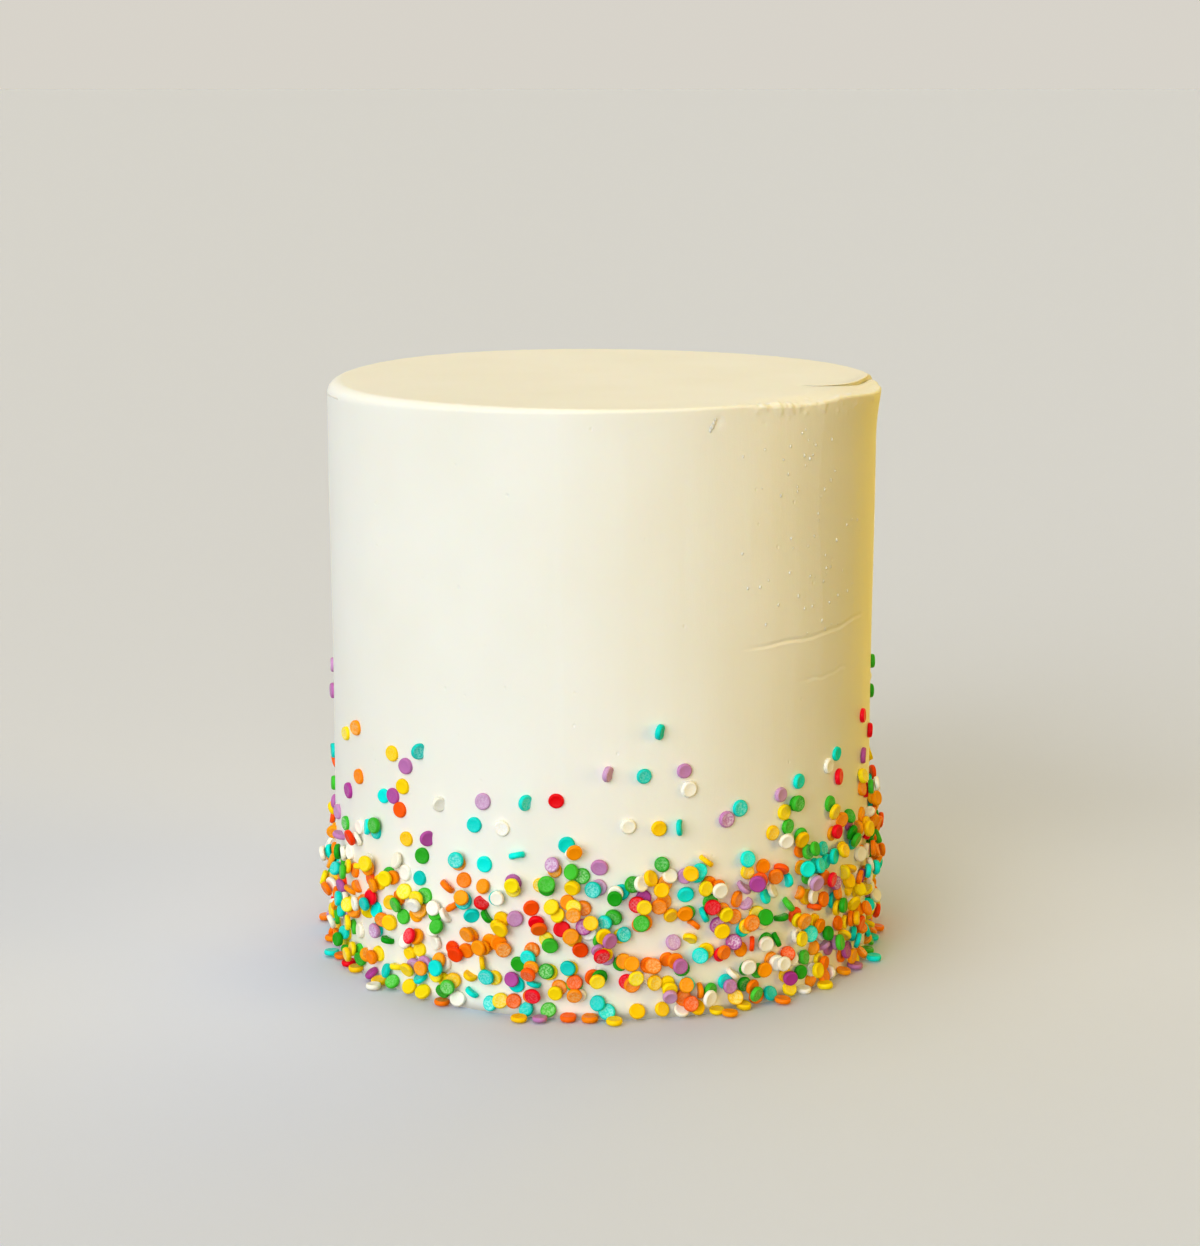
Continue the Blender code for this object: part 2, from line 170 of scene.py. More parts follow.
def fold_line():
    """The fold as a smooth line: its corners are cut off twice."""
    line = np.array(FOLD)
    for _ in range(2):
        cut = np.stack([0.75 * line[:-1] + 0.25 * line[1:], 0.25 * line[:-1] + 0.75 * line[1:]], 1)
        line = np.concatenate([line[:1], cut.reshape(-1, 3), line[-1:]])
    return line


def fold_near(x, y):
    """For each place: how far the fold is, on which side of it the place lies, and how far it has opened."""
    nearest = np.full_like(x, 1e9)
    side = np.zeros_like(x)
    opening = np.zeros_like(x)
    line = fold_line()
    for (ax, ay, a_open), (bx, by, b_open) in zip(line, line[1:]):
        run = np.array([bx - ax, by - ay])
        along = run / np.hypot(*run)
        share = np.clip(((x - ax) * run[0] + (y - ay) * run[1]) / (run @ run), 0.0, 1.0)
        dx = x - ax - share * run[0]
        dy = y - ay - share * run[1]
        away = np.hypot(dx, dy)
        closer = away < nearest
        nearest = np.where(closer, away, nearest)
        side = np.where(closer, along[1] * dx - along[0] * dy, side)
        opening = np.where(closer, a_open + share * (b_open - a_open), opening)
    return nearest, side, opening


def fold_relief(x, y):
    """The step along the fold at the right of the top: the icing outside it slopes down to the rim."""
    nearest, side, opening = fold_near(x, y)
    step = FOLD_STEP * opening
    slope = bump(np.hypot(x, y), CAKE_RADIUS + 2.0, 14.0) * (1.0 - opening * np.exp(-((nearest / 4.5) ** 2)))
    drop = step + np.maximum(0.0, rim_drop(np.degrees(np.arctan2(x, -y))) - step) * slope
    cut = np.minimum(1.0, 3.0 * opening)
    groove = FOLD_GROOVE * cut * np.exp(-(((nearest - 0.2) / FOLD_SHARPNESS) ** 2))
    return -drop * (0.5 + 0.5 * np.tanh(side / FOLD_SHARPNESS)) - groove


def top_height(x, y):
    """Height of the top: flat to within half a millimetre, but for the fold."""
    wave = 0.25 * np.sin(x / 31.0 + 0.8) * np.cos(y / 27.0) - 0.2 * np.cos(x / 52.0 - y / 40.0)
    return CAKE_HEIGHT + wave + fold_relief(x, y)


def on_circle(turn, radius, height):
    a = math.radians(turn)
    return Vector((radius * math.sin(a), -radius * math.cos(a), height))


class Laying:
    """The discs laid so far, and whether another would cut into one of them."""

    def __init__(self):
        self.discs = []
        self.centres = np.zeros((0, 3))
        around = np.radians(np.arange(12) * 30.0)
        ring = np.stack([np.cos(around), np.sin(around)], 1)
        spots = [(ring * 0.5, 0.0), (ring * 0.46, 0.32), (ring * 0.46, -0.32), (ring * 0.25, 0.48),
                 (ring * 0.25, -0.48)]
        self.spots = np.concatenate([np.column_stack([xy, np.full(len(xy), z)]) for xy, z in spots])

    def surface(self, disc):
        """Points spread over a disc's faces and edge."""
        normal = np.array(disc.normal)
        side = np.cross(normal, (0.0, 0.0, 1.0) if abs(normal[2]) < 0.9 else (1.0, 0.0, 0.0))
        side /= np.linalg.norm(side)
        axes = np.stack([side * disc.width, np.cross(normal, side) * disc.width, normal * disc.depth])
        return np.array(disc.centre) + self.spots @ axes

    def cuts(self, points, disc):
        """Whether any of the points lies well inside the disc."""
        away = points - np.array(disc.centre)
        along = away @ np.array(disc.normal)
        across = np.sqrt(np.maximum((away**2).sum(1) - along**2, 0.0))
        return bool(((across / (disc.width / 2)) ** 4 + (along / (disc.depth / 2)) ** 4 < 0.75).any())

    def neighbours(self, disc):
        if not self.discs:
            return []
        gaps = np.linalg.norm(self.centres - np.array(disc.centre), axis=1)
        return [self.discs[k] for k in np.nonzero(gaps < DISC_WIDTH * 1.15)[0]]

    def met_by(self, disc):
        """The first of the discs laid so far that this one would cut into, or None."""
        points = self.surface(disc)
        for other in self.neighbours(disc):
            if self.cuts(points, other) or self.cuts(self.surface(other), disc):
                return other
        return None

    def fits(self, disc):
        return self.met_by(disc) is None

    def nearest(self, spot):
        return self.discs[int(np.argmin(np.linalg.norm(self.centres - np.array(spot), axis=1)))]

    def lay(self, disc):
        self.discs.append(disc)
        self.centres = np.vstack([self.centres, disc.centre])


def sized(rng, colour, centre, normal, seated=True):
    grow = 1.0 + SIZE_SPREAD * rng.uniform(-1.0, 1.0)
    thin = 1.0 + 1.5 * SIZE_SPREAD * rng.uniform(-1.0, 1.0)
    facing = tuple(normal.normalized())
    return Disc(colour, tuple(centre), facing, DISC_WIDTH * grow, DISC_DEPTH * thin, seated, None)


def pressed(rng, colour, turn, height, tilt, roll, lift=0.0):
    """A disc pressed into the side: tilt is how far it leans off the surface, roll the way it leans."""
    out = on_circle(turn, 1.0, 0.0)
    across = on_circle(turn + 90.0, 1.0, 0.0)
    lean = across * math.cos(roll) + Vector((0.0, 0.0, 1.0)) * math.sin(roll)
    normal = out * math.cos(tilt) + lean * math.sin(tilt)
    reach = DISC_WIDTH / 2 * math.sin(tilt) + DISC_DEPTH / 2 * math.cos(tilt)
    bite = 0.45 + 1.3 * math.sin(tilt)
    foot_clear = DISC_WIDTH / 2 * math.sqrt(max(0.0, 1.0 - normal.z**2)) + DISC_DEPTH / 2 * abs(normal.z)
    height = max(height, foot_clear * (1.0 + SIZE_SPREAD) + FOOT_GAP)
    centre = on_circle(turn, side_radius(turn, height) + reach - bite + lift, height)
    return sized(rng, colour, centre, normal, seated=lift == 0.0)


def drawn_colour(rng):
    names = list(COLOUR_SHARES)
    shares = np.array([COLOUR_SHARES[name] for name in names])
    return names[int(rng.choice(len(names), p=shares / shares.sum()))]


def drawn_tilt(rng):
    """Most discs lie nearly flat, and some stand on edge."""
    if rng.random() < ON_EDGE_SHARE:
        return math.radians(rng.uniform(55.0, 85.0))
    return math.radians(min(38.0, abs(rng.normal(0.0, 13.0))))


def band_height(turn):
    """Height at which the band thins out, which rises and falls round the cake."""
    a = math.radians(turn)
    rise = BAND_RISE * math.cos(a - math.radians(BAND_RISE_TURN))
    return BAND_HEIGHT + rise + 2.4 * math.cos(7 * a + 0.5) + 1.6 * math.cos(11 * a)


def band_share(turn, height):
    """How likely a disc is to stay at this place: crowded near the foot, thinning out at the top."""
    share = height / band_height(turn)
    if share < 0.72:
        return 1.0
    return max(0.0, 1.0 - (share - 0.72) / 0.42) ** 1.6


def lay_foot(rng, laying):
    """The lowest discs, lying or leaning where the side meets the surface that the cake stands on."""
    for k in range(FOOT_DISCS):
        turn = 360.0 * (k + rng.uniform(-0.42, 0.42)) / FOOT_DISCS
        tip = math.radians(rng.uniform(3.0, 10.0) if rng.random() < 0.4 else rng.uniform(38.0, 78.0))
        sway = math.radians(rng.uniform(-28.0, 28.0))
        out = on_circle(turn, 1.0, 0.0)
        across = on_circle(turn + 90.0, 1.0, 0.0)
        flat = out * math.cos(sway) + across * math.sin(sway)
        normal = flat * math.sin(tip) + Vector((0.0, 0.0, 1.0)) * math.cos(tip)
        low = DISC_WIDTH / 2 * math.sin(tip) + DISC_DEPTH / 2 * math.cos(tip)
        reach = DISC_WIDTH / 2 * math.cos(tip) + DISC_DEPTH / 2 * math.sin(tip)
        height = low * (1.0 + SIZE_SPREAD) + FOOT_GAP
        centre = on_circle(turn, side_radius(turn, height) + reach - 0.5, height)
        disc = sized(rng, drawn_colour(rng), centre, normal)
        if laying.fits(disc):
            laying.lay(disc)


def lay_spill(rng, laying):
    """Discs that dropped past the foot: each lies nearly flat, slid in until it meets the foot row."""
    for _ in range(SPILL_DISCS):
        turn = rng.uniform(0.0, 360.0)
        lean = on_circle(rng.uniform(0.0, 360.0), math.sin(math.radians(rng.uniform(1.0, 7.0))), 1.0)
        low = DISC_WIDTH / 2 * lean.xy.length + DISC_DEPTH / 2
        height = low * (1.0 + 1.5 * SIZE_SPREAD) + FOOT_GAP
        apart = on_circle(turn, CAKE_RADIUS + SPILL_REACH, height)
        disc = sized(rng, drawn_colour(rng), apart, lean, seated=False)
        if not laying.fits(disc):
            continue
        for out in np.arange(SPILL_REACH, disc.width / 2 - 0.5, -SPILL_STEP):
            disc = disc._replace(centre=tuple(on_circle(turn, CAKE_RADIUS + out, height)))
            met = laying.met_by(disc)
            if met:
                break
        if met is None:
            laying.lay(disc._replace(seated=True))
        elif met.seated:
            home = tuple(on_circle(turn, CAKE_RADIUS + out - SPILL_STEP, height))
            laying.lay(disc._replace(centre=home, rests_on=met))


def lay_strays(rng, laying):
    """The single discs above the band: those named on the front, and as many again behind."""
    for places, low, high in ((STRAYS, 0.0, 14.0), (STRAYS_ON_EDGE, 56.0, 68.0)):
        for colour, spots in places.items():
            for turn, height in spots:
                tilt = math.radians(rng.uniform(low, high))
                laying.lay(pressed(rng, colour, turn, height, tilt, rng.uniform(-0.25, 0.25)))
    for _ in range(BACK_STRAYS):
        turn = rng.uniform(STRAY_TURN, 360.0 - STRAY_TURN)
        drop = (STRAY_REACH - band_height(turn)) * rng.random() ** 1.7
        place = (turn, band_height(turn) + drop)
        disc = pressed(rng, drawn_colour(rng), *place, drawn_tilt(rng), rng.uniform(0.0, 2 * math.pi))
        if laying.fits(disc):
            laying.lay(disc)


def next_place(rng, laying):
    """Where the next disc lands, and its colour: anywhere in the band, or clumped with one that is there."""
    if rng.random() > CLUMP_SHARE:
        return rng.uniform(0.0, 360.0), rng.uniform(2.0, 1.2 * (BAND_HEIGHT + BAND_RISE)), drawn_colour(rng)
    near = laying.discs[int(rng.integers(len(laying.discs)))]
    x, y, z = near.centre
    turn = math.degrees(math.atan2(x, -y) + rng.normal(0.0, CLUMP_REACH) / CAKE_RADIUS)
    height = max(2.0, z + rng.normal(0.0, CLUMP_REACH))
    return turn, height, near.colour if rng.random() < LIKE_SHARE else drawn_colour(rng)


def lay_band(rng, laying):
    """The crowded band. A disc that finds its place taken leans or lies on its neighbour, or goes elsewhere."""
    wanted = len(laying.discs) + BAND_DISCS
    for _ in range(40 * BAND_DISCS):
        if len(laying.discs) >= wanted:
            return
        turn, height, colour = next_place(rng, laying)
        if rng.random() > band_share(turn, height):
            continue
        for disc in ways_to_lie(rng, laying, colour, turn, height):
            if laying.fits(disc):
                laying.lay(disc)
                break


def ways_to_lie(rng, laying, colour, turn, height):
    """The same disc pressed into the icing, then leaning on its nearest neighbour, then lying on it."""
    yield pressed(rng, colour, turn, height, drawn_tilt(rng), rng.uniform(0.0, 2 * math.pi))
    near = laying.nearest(on_circle(turn, side_radius(turn, height), height))
    yield leaning(rng, near, colour, turn, height)
    if Vector(near.normal).dot(on_circle(turn, 1.0, 0.0)) > STACK_FACING and near.centre[2] > STACK_FOOT:
        yield stacked(rng, near, colour)


def leaning(rng, near, colour, turn, height):
    """A disc with one edge up on its neighbour and the other on the icing."""
    towards = Vector(near.centre) - on_circle(turn, side_radius(turn, height), height)
    across = towards.dot(on_circle(turn + 90.0, 1.0, 0.0))
    tilt = math.radians(rng.uniform(17.0, 30.0))
    roll = math.atan2(-towards.z, -across)
    return pressed(rng, colour, turn, height, tilt, roll, lift=rng.uniform(0.35, 0.9))


def stacked(rng, near, colour):
    """A disc lying on its neighbour's face, pushed aside and tipped a little over the edge."""
    normal = Vector(near.normal)
    aside = normal.orthogonal().normalized()
    aside.rotate(Quaternion(normal, rng.uniform(0.0, 2 * math.pi)))
    shift = rng.uniform(1.0, 2.9)
    tip = rng.uniform(0.0, 0.3)
    rise = (near.depth + DISC_DEPTH) / 2 + max(0.0, near.width / 2 - shift) * math.sin(tip)
    centre = Vector(near.centre) + normal * rise + aside * shift
    return sized(rng, colour, centre, normal + aside * math.tan(tip), seated=False)


def laid_confetti():
    rng = np.random.default_rng(SEED)
    laying = Laying()
    lay_strays(rng, laying)
    lay_foot(rng, laying)
    lay_spill(rng, laying)
    lay_band(rng, laying)
    return laying.discs


# Buttercream: how finely its surface is modelled, finest where the marks are
STRETCHES = (
    # first turn, last turn, arc between points
    (-12.0, 27.0, 0.9),
    (27.0, 95.0, 0.54),
    (95.0, 348.0, 2.0),
)
SIDE_STEP = 3.0
FINE_STEP = 0.45
FINE_LEVELS = ((101.0, 106.0), (114.0, 121.5), (181.0, 188.0))
RIM_RINGS = 9
TOP_FINE_REACH = 27.0
TOP_FINE_STEP = 0.42
TOP_PLAIN_RINGS = 11

# The top is this much lower than the solid's, which makes room for the crumbs along the rim
TOP_TRIM = 0.06
ARC_PER_DEGREE = math.radians(CAKE_RADIUS)

# The lip along the fold: where it runs along the fold, how far in from the fold the top gives its height,
# and its outline as out over the crack and up
LIP_START = 4.0
LIP_END = 51.0
LIP_STEP = 0.6
LIP_ROOT = 2.6
LIP_OUTLINE = (
    (-2.2, -0.14),
    (-2.2, -0.6),
    (-1.0, -0.6),
    (0.0, -0.42),
    (0.5, -0.27),
    (0.62, -0.13),
    (0.42, 0.0),
    (-0.1, 0.05),
    (-0.8, 0.04),
    (-1.5, 0.01),
)

# Marks that the smoothing left in the icing
SCRAPER_SEED = 3
SCRAPER_MARKS = 60
SCRAPER_DEPTH = 0.07
CREASES = (
    # turn, height above the icing round it, lowest, highest
    (30.6, 0.08, 120.0, 186.0),
    (41.9, 0.06, 50.0, 200.0),
    (49.0, 0.13, 84.0, 210.0),
    (57.5, 0.07, 40.0, 150.0),
)
CREASE_WIDTH = 1.9
SCRATCHES = (
    # height, first turn, last turn, depth, rise from first to last
    (116.5, 27.0, 69.0, 0.24, 2.4),
    (103.2, 42.0, 60.0, 0.12, 0.8),
)
SCRATCH_WIDTH = 0.9
SCRATCH_BURR = 0.2
NICK_TURN = 21.6
NICK_HEIGHT = 187.4
NICK_HOLLOW = (1.5, 0.9)
NICK_REACH = 1.3
NICK_DEPTH = 0.3
NICK_DROPS = (
    # across, up, half the width of each drop
    (-1.0, -1.6, 0.55),
    (-0.5, -0.6, 0.75),
    (0.1, 0.5, 0.6),
    (0.6, 1.6, 0.4),
)
SPECK_SEED = 12
SPECKS = 60
SPECK_SEGMENTS = 8
SPECK_LEVELS = (0.0, 0.45, 0.8)
SPECK_ROOT = 0.15
CRUMB_SEED = 8
CRUMBS = (
    # how many, between which turns, how far over the edge and its spread, sizes, how far they stand up
    (170, (27.0, 92.0), (-1.2, 2.6), (0.45, 0.95), (-0.14, 0.3)),
    (16, (33.0, 43.0), (-0.9, 0.5), (0.9, 1.5), (0.25, 0.5)),
)


def scraper_relief(turn, height, rng):
    """Upright marks where the scraper paused or lifted, a few hundredths of a millimetre deep."""
    relief = np.zeros_like(turn + height)
    for _ in range(SCRAPER_MARKS):
        where = rng.uniform(-180.0, 180.0)
        width = rng.uniform(1.2, 4.5)
        slant = rng.normal(0.0, 0.012)
        depth = SCRAPER_DEPTH * rng.uniform(-1.0, 1.0)
        low = rng.uniform(-40.0, 120.0)
        high = low + rng.uniform(60.0, 240.0)
        fade = np.clip((height - low) / 30.0, 0.0, 1.0) * np.clip((high - height) / 30.0, 0.0, 1.0)
        away = turn_between(turn, where + slant * height) / width
        relief = relief + depth * fade * (1.0 - 0.8 * away) * np.exp(-away**2)
    return relief


def crease_relief(turn, height):
    """Blunt upright creases on the right, where one pass of the scraper ended against the next."""
    relief = np.zeros_like(turn + height)
    for where, rise, low, high in CREASES:
        fade = np.clip((height - low) / 25.0, 0.0, 1.0) * np.clip((high - height) / 25.0, 0.0, 1.0)
        away = np.abs(turn_between(turn, where + 0.9 * np.sin(height / 13.0 + where)))
        relief = relief + rise * fade * np.exp(-np.hypot(away, 0.25) / CREASE_WIDTH)
    return relief


def crumb_relief(turn, over):
    """Torn bits along the sharp rim: over is how far they lie over the edge, or in from it if below 0."""
    rng = np.random.default_rng(CRUMB_SEED)
    relief = np.zeros_like(turn + over)
    for number, turns, places, sizes, rises in CRUMBS:
        for _ in range(number):
            along = turn_between(turn, rng.uniform(*turns)) * ARC_PER_DEGREE
            place = rng.normal(*places)
            size = rng.uniform(*sizes)
            rise = rng.uniform(*rises)
            relief = relief + rise * np.exp(-(along / size) ** 2 - ((over - place) / size) ** 2)
    return relief


def icing_relief(turn, height):
    """What the smoothing left on the side: scraper marks, two long scratches and a small nick."""
    relief = scraper_relief(turn, height, np.random.default_rng(SCRAPER_SEED)) + crease_relief(turn, height)
    for level, first, last, depth, rise in SCRATCHES:
        share = turn_between(turn, first) / (last - first)
        wobble = 0.35 * np.sin(share * 9.0) + 0.2 * np.sin(share * 23.0 + 1.0)
        line = level + rise * share + wobble
        ends = np.clip(share / 0.2, 0.0, 1.0) * np.clip((1.0 - share) / 0.06, 0.0, 1.0)
        relief = relief - depth * ends * bump(height, line, SCRATCH_WIDTH)
        burr = SCRATCH_BURR * depth * ends
        relief = relief + burr * bump(height, line - 1.1 * SCRATCH_WIDTH, SCRATCH_WIDTH)
    across = turn_between(turn, NICK_TURN) * ARC_PER_DEGREE - NICK_HOLLOW[0]
    up = height - NICK_HEIGHT - NICK_HOLLOW[1]
    return relief - NICK_DEPTH * np.exp(-(across**2 + up**2) / NICK_REACH**2)


def rim_chips(turn):
    """How far the sharp front edge is chipped or built up, in millimetres."""
    rough = 0.5 * np.sin(turn * 1.9 + 0.7) + 0.35 * np.sin(turn * 4.3) + 0.3 * np.sin(turn * 7.7 + 2.0)
    return rough * (0.06 + 0.2 * bump(turn_between(turn, 36.0), 0.0, 20.0))


def ring_turns():
    """Turns of the points of a ring, closest together on the stretch that has the marks."""
    return np.concatenate([
        np.linspace(first, last, round((last - first) * ARC_PER_DEGREE / arc), endpoint=False)
        for first, last, arc in STRETCHES
    ])


def side_levels(top):
    """Heights of the rings up the side, closer together at the marks."""
    levels = set(np.arange(0.0, top - SIDE_STEP, SIDE_STEP))
    for low, high in FINE_LEVELS:
        levels = {z for z in levels if not low - FINE_STEP < z < high + FINE_STEP}
        levels |= set(np.arange(low, high, FINE_STEP))
    return sorted(levels)


def icing_rings():
    """The rings of the buttercream's points: up the side, round the rim and in over the top."""
    turns = ring_turns()
    soft = rim_round(turns)
    shoulder = CAKE_HEIGHT - rim_drop(turns) - soft
    levels = side_levels(shoulder.min())
    rings = [side_ring(turns, np.full_like(turns, level)) for level in levels]
    steps = round((CAKE_HEIGHT - levels[-1]) / (2 * FINE_STEP))
    for share in np.linspace(0.0, 1.0, steps)[1:-1]:
        rings.append(side_ring(turns, levels[-1] + share * (shoulder - levels[-1])))
    for angle in np.linspace(0.0, math.pi / 2, RIM_RINGS):
        rings.append(rim_ring(turns, soft, shoulder, angle))
    edge = rings[-1][:, :2]
    fine = 1.0 - np.arange(TOP_FINE_STEP, TOP_FINE_REACH, TOP_FINE_STEP) / CAKE_RADIUS
    for share in [*fine, *np.linspace(fine[-1], 0.0, TOP_PLAIN_RINGS + 2)[1:-1]]:
        x, y = (edge * share).T
        inwards = np.full_like(turns, (share - 1.0) * CAKE_RADIUS)
        rings.append(np.column_stack([x, y, top_height(x, y) - TOP_TRIM + crumb_relief(turns, inwards)]))
    return rings


def fold_lip():
    """The thin lip that the last swipe dragged over the crack: a strip sunk in the top along the fold."""
    line = fold_line()
    lengths = np.insert(np.cumsum(np.hypot(*np.diff(line[:, :2], axis=0).T)), 0, 0.0)
    spots = np.arange(LIP_START, LIP_END, LIP_STEP)
    x, y, opening = (np.interp(spots, lengths, values) for values in line.T)
    way_x, way_y = np.gradient(x), np.gradient(y)
    long = np.hypot(way_x, way_y)
    taper = np.minimum(1.0, (spots - LIP_START) / 9.0) * np.minimum(1.0, (LIP_END - spots) / 8.0)
    torn = 1.0 + 0.12 * np.sin(spots * 2.3) + 0.08 * np.sin(spots * 5.1 + 1.0)
    points = []
    for out, up in LIP_OUTLINE:
        reach = out * taper * torn
        px, py = x + reach * way_y / long, y - reach * way_x / long
        inner_x, inner_y = x - LIP_ROOT * way_y / long, y + LIP_ROOT * way_x / long
        points.append(np.column_stack([px, py, top_height(inner_x, inner_y) - TOP_TRIM + up * taper]))
    sides = len(LIP_OUTLINE)
    points = np.stack(points, 1).reshape(-1, 3)
    faces = []
    for ring in range(0, len(points) - sides, sides):
        faces += [(ring + k, ring + sides + k, ring + sides + (k + 1) % sides, ring + (k + 1) % sides)
                  for k in range(sides)]
    return points, [*faces, tuple(range(sides)), tuple(range(len(points) - 1, len(points) - sides - 1, -1))]


def side_ring(turns, heights):
    radius = side_radius(turns, heights) + icing_relief(turns, heights)
    radius = radius + crumb_relief(turns, CAKE_HEIGHT - rim_drop(turns) - heights)
    a = np.radians(turns)
    return np.column_stack([radius * np.sin(a), -radius * np.cos(a), heights])


def rim_ring(turns, soft, shoulder, angle):
    a = np.radians(turns)
    crumbs = crumb_relief(turns, soft * (1.0 - math.sin(angle)))
    radius = side_radius(turns, shoulder) - soft * (1.0 - math.cos(angle))
    radius = radius + (icing_relief(turns, shoulder) + crumbs) * math.cos(angle)
    x = radius * np.sin(a)
    y = -radius * np.cos(a)
    edge_height = top_height(x, y) - TOP_TRIM + (rim_chips(turns) + crumbs) * math.sin(angle)
    return np.column_stack([x, y, edge_height - soft * (1.0 - math.sin(angle))])


def buttercream():
    """The iced cake as one closed mesh, its rings bridged and its top and foot filled."""
    rings = icing_rings()
    axis = np.zeros(1)
    middle = np.column_stack([axis, axis, top_height(axis, axis) - TOP_TRIM])
    points = np.concatenate([*rings, middle])
    round_trip = len(rings[0])
    step = np.arange(round_trip)
    after = (step + 1) % round_trip
    faces = []
    for k in range(len(rings) - 1):
        low, high = k * round_trip, (k + 1) * round_trip
        faces += np.column_stack([low + step, low + after, high + after, high + step]).tolist()
    last = (len(rings) - 1) * round_trip
    faces += [(last + a, last + b, len(points) - 1) for a, b in zip(step.tolist(), after.tolist())]
    faces.append(tuple(reversed(step.tolist())))
    for spots, sides in [fold_lip(), *specks()]:
        faces += [tuple(k + len(points) for k in side) for side in sides]
        points = np.concatenate([points, spots])
    return mesh_piece("buttercream", points, faces)


def specks():
    """Small drops of icing that the scraper left standing: a scatter on the right, and a few at the nick."""
    rng = np.random.default_rng(SPECK_SEED)
    for _ in range(SPECKS):
        turn = np.clip(rng.normal(45.0, 9.0), 28.0, 66.0)
        height = CAKE_HEIGHT - rng.uniform(9.0, 78.0)
        wide = rng.uniform(0.26, 0.46)
        yield speck(turn, height, wide, wide * rng.uniform(1.1, 1.7), wide * rng.uniform(0.6, 1.0))
    for across, up, wide in NICK_DROPS:
        yield speck(NICK_TURN + across / ARC_PER_DEGREE, NICK_HEIGHT + up, wide, 1.3 * wide, 0.26 * wide)


def speck(turn, height, wide, tall, stands):
    """One drop on the side, as a small upright dome."""
    around = np.arange(SPECK_SEGMENTS) * 2 * np.pi / SPECK_SEGMENTS
    foot = side_radius(turn, height) - SPECK_ROOT
    out = on_circle(turn, 1.0, 0.0)
    across = on_circle(turn + 90.0, 1.0, 0.0)
    spots = []
    for up in SPECK_LEVELS:
        ring = math.sqrt(1.0 - up**2)
        for a in around:
            spot = out * (foot + SPECK_ROOT * (up > 0.0) + stands * up) + across * wide * ring * math.cos(a)
            spots.append((*spot.xy, height + tall * ring * math.sin(a)))
    spots.append((*(out * (foot + SPECK_ROOT + stands)).xy, height))
    return np.array(spots), speck_faces()


def speck_faces():
    step = list(range(SPECK_SEGMENTS))
    after = step[1:] + step[:1]
    sides = [tuple(reversed(step))]
    for low in (0, SPECK_SEGMENTS):
        high = low + SPECK_SEGMENTS
        sides += [(low + a, low + b, high + b, high + a) for a, b in zip(step, after)]
    sides += [(high + a, high + b, high + SPECK_SEGMENTS) for a, b in zip(step, after)]
    return sides


def mesh_piece(name, points, faces):
    data = bpy.data.meshes.new(name)
    data.from_pydata((np.asarray(points) * METRES).tolist(), [], faces)
    data.validate()
    data.shade_smooth()
    piece = bpy.data.objects.new(name, data)
    bpy.context.scene.collection.objects.link(piece)
    return piece


# One disc: its outline from the middle of the face to the middle of the back, as shares of half its size,
# and how far at most it is out of round, rippled and warped
DISC_SEGMENTS = 22
DISC_SQUASH = 0.035
DISC_RIPPLE = 0.012
DISC_WARP = 0.09
DISC_OUTLINE = ((0.0, 0.8), (0.5, 0.82), (0.68, 0.92), (0.82, 1.0), (0.93, 0.82), (1.0, 0.25), (1.0, -0.25),
                (0.93, -0.82), (0.82, -1.0), (0.68, -0.92), (0.5, -0.82), (0.0, -0.8))

# Each disc is pressed in by this share of its distance from the axis, so that none passes the solid's
DISC_PRESSED = 0.0022


def disc_points(disc, rng):
    """A pressed disc: slightly dished faces, rounded edges, and not quite round."""
    around = np.arange(DISC_SEGMENTS) * 2 * np.pi / DISC_SEGMENTS
    squash = rng.uniform(-DISC_SQUASH, DISC_SQUASH)
    turned = rng.uniform(0.0, np.pi)
    ripple = rng.uniform(0.0, DISC_RIPPLE)
    uneven = 1.0 + squash * np.cos(2 * (around - turned)) + ripple * np.cos(5 * around + turned)
    uneven /= uneven.max()
    warp = rng.uniform(-DISC_WARP, DISC_WARP)
    spots = [(0.0, 0.0, DISC_OUTLINE[0][1] * disc.depth / 2)]
    for out, up in DISC_OUTLINE[1:-1]:
        radius = out * uneven * disc.width / 2
        lift = up * disc.depth / 2 + warp * out**2 * np.cos(2 * (around + turned))
        spots += np.column_stack([radius * np.cos(around), radius * np.sin(around), lift]).tolist()
    spots.append((0.0, 0.0, DISC_OUTLINE[-1][1] * disc.depth / 2))
    facing = Vector(disc.normal).to_track_quat("Z", "Y").to_matrix()
    centre = np.array(disc.centre) * (1.0 - DISC_PRESSED, 1.0 - DISC_PRESSED, 1.0)
    return np.array(spots) @ np.array(facing).T + centre


def disc_faces():
    step = list(range(DISC_SEGMENTS))
    after = step[1:] + step[:1]
    rings = len(DISC_OUTLINE) - 2
    faces = [(0, 1 + a, 1 + b) for a, b in zip(step, after)]
    for ring in range(rings - 1):
        low = 1 + ring * DISC_SEGMENTS
        high = low + DISC_SEGMENTS
        faces += [(low + a, high + a, high + b, low + b) for a, b in zip(step, after)]
    last = 1 + (rings - 1) * DISC_SEGMENTS
    faces += [(last + b, last + a, last + DISC_SEGMENTS) for a, b in zip(step, after)]
    return faces


def disc_face_shares():
    """For each point of a disc, 1 on a dished face and 0 round the edge, where the bloom has rubbed off."""
    shares = [min(1.0, 3.6 * max(0.0, 0.96 - out)) for out, _ in DISC_OUTLINE]
    rings = [share for share in shares[1:-1] for _ in range(DISC_SEGMENTS)]
    return [shares[0], *rings, shares[-1]]


